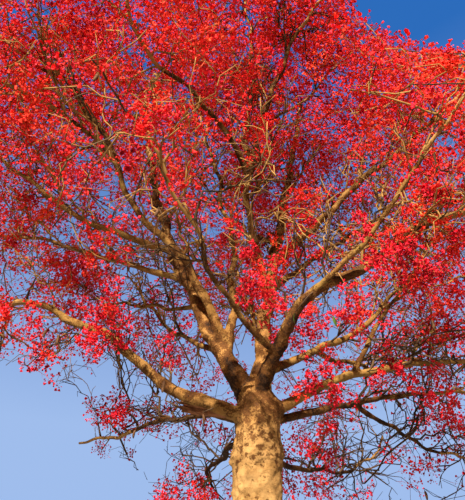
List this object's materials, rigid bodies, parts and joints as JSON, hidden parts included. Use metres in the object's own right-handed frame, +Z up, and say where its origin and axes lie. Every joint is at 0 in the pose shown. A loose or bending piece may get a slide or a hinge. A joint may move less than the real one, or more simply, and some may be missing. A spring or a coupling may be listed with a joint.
{
  "type": "flame tree",
  "caption": "Nearly leafless flame tree in full scarlet blossom: a flared trunk that forks into spreading boughs, each ending in a mass of blossoming twigs, with a torn dead stub.",
  "frame": {"origin": "centre of the flat cut under the trunk, at ground level", "axes": "+Z up the tree; +X to the right and +Y away, as the picture looks at it"},
  "size_m": [6.0764, 4.9904, 8.3951],
  "materials": {
    "bark": "rough tan bark, dimpled and finely creased",
    "dead_wood": "dry, splintered, dark red-brown",
    "blossom": "soft waxy petals on thin twigs"
  },
  "bodies": {
    "root": {"trunk": "bark", "centre_leader": "bark", "left_leader": "bark", "front_leader": "bark", "left_low": "bark", "right_low": "bark", "right_bottom": "bark", "left_far": "bark", "back_left": "bark", "back_right": "bark", "left_upright": "bark", "left_front": "bark", "left_mid": "bark", "left_side": "bark", "left_inner": "bark", "left_front_rise": "bark", "centre_upright": "bark", "upper_right": "bark", "inner_right": "bark", "back_middle": "bark", "back_top": "bark", "top_right": "bark", "upper_left": "bark", "centre_top": "bark", "front_cross": "bark", "right_fork": "bark", "right_mid": "bark", "right_mid_low": "bark", "right_droop": "bark", "broken_stub": "dead_wood", "centre_leader_blossom": "blossom", "left_leader_blossom": "blossom", "front_leader_blossom": "blossom", "left_low_blossom": "blossom", "right_low_blossom": "blossom", "right_bottom_blossom": "blossom", "left_far_blossom": "blossom", "back_left_blossom": "blossom", "back_right_blossom": "blossom", "left_upright_blossom": "blossom", "left_front_blossom": "blossom", "left_mid_blossom": "blossom", "left_side_blossom": "blossom", "left_inner_blossom": "blossom", "left_front_rise_blossom": "blossom", "centre_upright_blossom": "blossom", "upper_right_blossom": "blossom", "inner_right_blossom": "blossom", "back_middle_blossom": "blossom", "back_top_blossom": "blossom", "top_right_blossom": "blossom", "upper_left_blossom": "blossom", "centre_top_blossom": "blossom", "front_cross_blossom": "blossom", "right_fork_blossom": "blossom", "right_mid_blossom": "blossom", "right_mid_low_blossom": "blossom", "right_droop_blossom": "blossom"}
  },
  "joints": []
}
